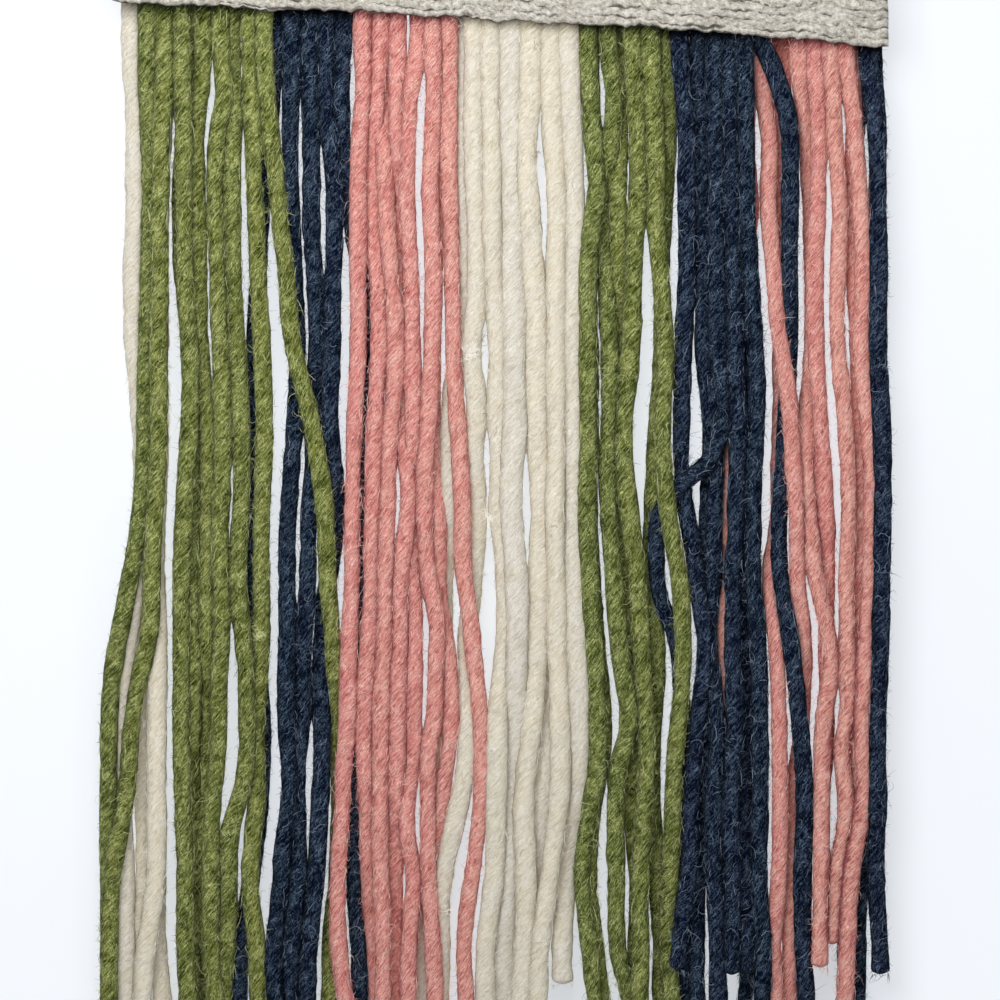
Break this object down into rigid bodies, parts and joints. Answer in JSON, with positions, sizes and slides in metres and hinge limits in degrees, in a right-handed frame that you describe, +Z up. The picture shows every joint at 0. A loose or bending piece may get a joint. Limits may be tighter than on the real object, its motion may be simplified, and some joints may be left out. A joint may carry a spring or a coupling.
{
  "type": "woven wall hanging",
  "caption": "Woven wall hanging: a thick off-white woven band with a long fringe of soft bulky wool in cream, green, navy and pink bunches.",
  "frame": {"origin": "middle of the band's top edge, on the side towards the wall, where the hanging is held", "axes": "+Z up, +X to the right seen from the front, -Y out of the wall towards the viewer"},
  "size_m": [0.1579, 0.0117, 0.2731],
  "materials": {
    "wool_cream": "matte soft wool",
    "wool_green": "matte soft wool",
    "wool_navy": "matte soft wool",
    "wool_pink": "matte soft wool",
    "band_cotton": "matte nubby weave"
  },
  "bodies": {
    "root": {"woven_band": "band_cotton", "fringe_cream_left": "wool_cream", "fringe_green_1": "wool_green", "fringe_navy_1": "wool_navy", "fringe_pink_1": "wool_pink", "fringe_cream_mid": "wool_cream", "fringe_green_2": "wool_green", "fringe_navy_2": "wool_navy", "fringe_pink_2": "wool_pink", "fringe_navy_right": "wool_navy"}
  },
  "joints": []
}
